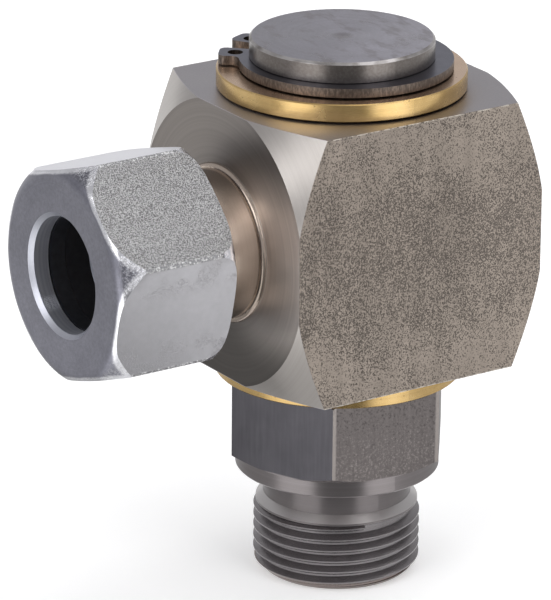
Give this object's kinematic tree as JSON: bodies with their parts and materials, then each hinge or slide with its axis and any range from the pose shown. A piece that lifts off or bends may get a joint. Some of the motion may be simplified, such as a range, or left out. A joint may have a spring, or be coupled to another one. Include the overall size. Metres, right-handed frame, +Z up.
{
  "type": "hydraulic rotary union",
  "caption": "Swivelling elbow for hydraulic lines: a square steel body with a compression tube connection turns on a hexagon spindle with a threaded stud",
  "frame": {"origin": "centre of the spindle stud's sealing face", "axes": "+Z up along the spindle, the stud points to -Z; the tube connection points to -Y"},
  "size_m": [0.036, 0.0616, 0.073],
  "materials": {
    "body_steel": "bare drawn bar, turned ends",
    "spindle_steel": "dark bare steel, turned",
    "zinc_plate": "bright zinc plating, satin",
    "ring_steel": "dark plated steel",
    "brass": "turned brass",
    "spring_steel": "blued spring steel, punched edges",
    "bush_bronze": "plain bearing bronze",
    "seal_rubber": "nitrile rubber, satin",
    "slip_plastic": "filled fluoropolymer"
  },
  "bodies": {
    "spindle": {"spindle": "spindle_steel", "retaining_ring": "spring_steel", "upper_slip_ring": "slip_plastic", "lower_slip_ring": "slip_plastic", "upper_seal_oring": "seal_rubber", "lower_seal_oring": "seal_rubber"},
    "housing": {"housing": "body_steel", "upper_guide_bush": "bush_bronze", "lower_guide_bush": "bush_bronze", "upper_dust_oring": "seal_rubber", "lower_dust_oring": "seal_rubber"},
    "upper_washer": {"upper_thrust_washer": "brass"},
    "lower_washer": {"lower_thrust_washer": "brass"},
    "ring": {"cutting_ring": "ring_steel"},
    "nut": {"union_nut": "zinc_plate"}
  },
  "joints": [
    {"name": "housing_swivel", "type": "hinge", "parent": "spindle", "child": "housing", "pos_m": [0, 0, 0.034], "axis": [0, 0, 1], "continuous": true},
    {"name": "upper_washer_spin", "type": "hinge", "parent": "spindle", "child": "upper_washer", "pos_m": [0, 0, 0.0535], "axis": [0, 0, 1], "continuous": true},
    {"name": "lower_washer_spin", "type": "hinge", "parent": "spindle", "child": "lower_washer", "pos_m": [0, 0, 0.01475], "axis": [0, 0, 1], "continuous": true},
    {"name": "nut_travel", "type": "slide", "parent": "housing", "child": "ring", "axis": [0, -1, 0], "range_m": [0, 0.00937]},
    {"name": "nut_turn", "type": "hinge", "parent": "ring", "child": "nut", "pos_m": [0, -0.034, 0.034], "axis": [0, -1, 0], "range_deg": [0, 2250]}
  ],
  "couplings": [
    {"joint": "nut_turn", "follows": "nut_travel", "rad_per_m": 4188.8}
  ]
}
